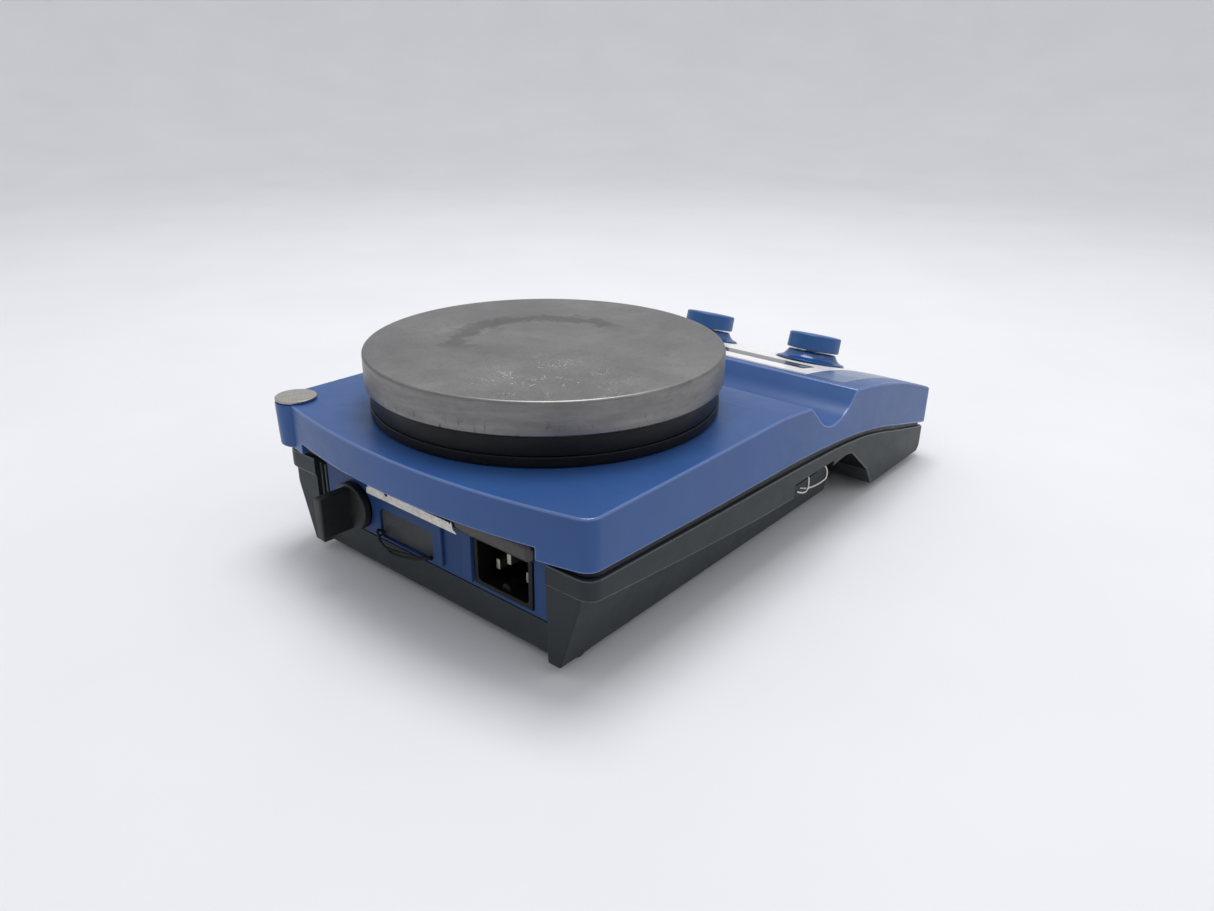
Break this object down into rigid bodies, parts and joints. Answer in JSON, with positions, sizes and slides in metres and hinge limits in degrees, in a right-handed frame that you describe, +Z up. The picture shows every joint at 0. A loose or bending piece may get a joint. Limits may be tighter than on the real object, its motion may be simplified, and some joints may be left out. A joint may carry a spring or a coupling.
{
  "type": "magnetic stirrer with hot plate",
  "caption": "Low hot-plate magnetic stirrer: round steel plate on a wedge-shaped housing with a sloping knob console, support-rod boss and rear sockets.",
  "frame": {"origin": "bottom centre of the whole object's box, on the bench", "axes": "+Z up, -Y towards the person at the console, +Y towards the rear sockets, +X to that person's right"},
  "size_m": [0.1601, 0.274, 0.085],
  "materials": {
    "blue_paint": "satin",
    "grey_paint": "satin",
    "plate_steel": "brushed",
    "bare_aluminium": "satin",
    "heater_metal": "satin",
    "magnet_alloy": "satin",
    "brass": "satin",
    "blue_plastic": "satin",
    "black_plastic": "matte",
    "grey_plastic": "matte",
    "switch_plastic": "gloss",
    "window_plastic": "gloss",
    "label_foil": "satin",
    "black_rubber": "matte",
    "board_laminate": "satin",
    "transformer_iron": "satin"
  },
  "bodies": {
    "housing": {"upper_housing": "blue_paint", "lower_housing": "grey_paint", "heating_plate": "plate_steel", "insulator_ring": "black_plastic", "deck_seal": "black_rubber", "heat_shield": "bare_aluminium", "heater_element": "heater_metal", "plate_spacer_1": "plate_steel", "plate_spacer_2": "plate_steel", "plate_spacer_3": "plate_steel", "temperature_sensor": "plate_steel", "drive_motor": "bare_aluminium", "motor_bracket": "plate_steel", "rod_bush": "brass", "console_overlay": "label_foil", "display_window": "window_plastic", "speed_collar": "blue_plastic", "speed_potentiometer": "black_plastic", "heat_collar": "blue_plastic", "heat_potentiometer": "black_plastic", "switch_frame": "black_plastic", "rear_panel": "blue_paint", "label_rail": "black_plastic", "rating_plate": "label_foil", "mains_inlet": "black_plastic", "live_pin": "brass", "neutral_pin": "brass", "earth_pin": "brass", "sensor_socket": "black_plastic", "control_board": "board_laminate", "power_board": "board_laminate", "heat_sink": "bare_aluminium", "mains_transformer": "transformer_iron", "rear_left_foot": "black_rubber", "rear_right_foot": "black_rubber", "front_left_foot": "black_rubber", "front_right_foot": "black_rubber", "housing_screw_1": "plate_steel", "housing_screw_2": "plate_steel", "housing_screw_3": "plate_steel", "housing_screw_4": "plate_steel", "side_wire_clip": "plate_steel"},
    "stirring_rotor": {"drive_shaft": "plate_steel", "magnet_carrier": "plate_steel", "north_magnet": "magnet_alloy", "south_magnet": "magnet_alloy"},
    "speed_dial": {"speed_knob": "blue_plastic", "speed_knob_shaft": "plate_steel"},
    "heat_dial": {"heat_knob": "blue_plastic", "heat_knob_shaft": "plate_steel"},
    "rocker": {"power_rocker": "switch_plastic"},
    "plug": {"contact_plug": "black_plastic"},
    "cover": {"interface_cover": "grey_plastic", "cover_loop": "black_rubber"},
    "rod_plug": {"rod_hole_plug": "bare_aluminium"}
  },
  "joints": [
    {"name": "stirring_spin", "type": "hinge", "parent": "housing", "child": "stirring_rotor", "pos_m": [0, 0.0562, 0.045], "axis": [0, 0, 1], "continuous": true},
    {"name": "speed_turn", "type": "hinge", "parent": "housing", "child": "speed_dial", "pos_m": [0.0308, -0.1, 0.04735], "axis": [0, -0.2612, 0.9653], "range_deg": [-270, 0]},
    {"name": "heat_turn", "type": "hinge", "parent": "housing", "child": "heat_dial", "pos_m": [-0.0308, -0.1, 0.04735], "axis": [0, -0.2612, 0.9653], "range_deg": [-270, 0]},
    {"name": "switch_rock", "type": "hinge", "parent": "housing", "child": "rocker", "pos_m": [0.052, -0.1322, 0.0262], "axis": [1, 0, 0], "range_deg": [0, 12]},
    {"name": "plug_pull", "type": "slide", "parent": "housing", "child": "plug", "axis": [0, 1, 0], "range_m": [0, 0.02]},
    {"name": "cover_pull", "type": "slide", "parent": "housing", "child": "cover", "axis": [0, 1, 0], "range_m": [0, 0.01]},
    {"name": "rod_plug_lift", "type": "slide", "parent": "housing", "child": "rod_plug", "axis": [0, 0, 1], "range_m": [0, 0.015]}
  ]
}
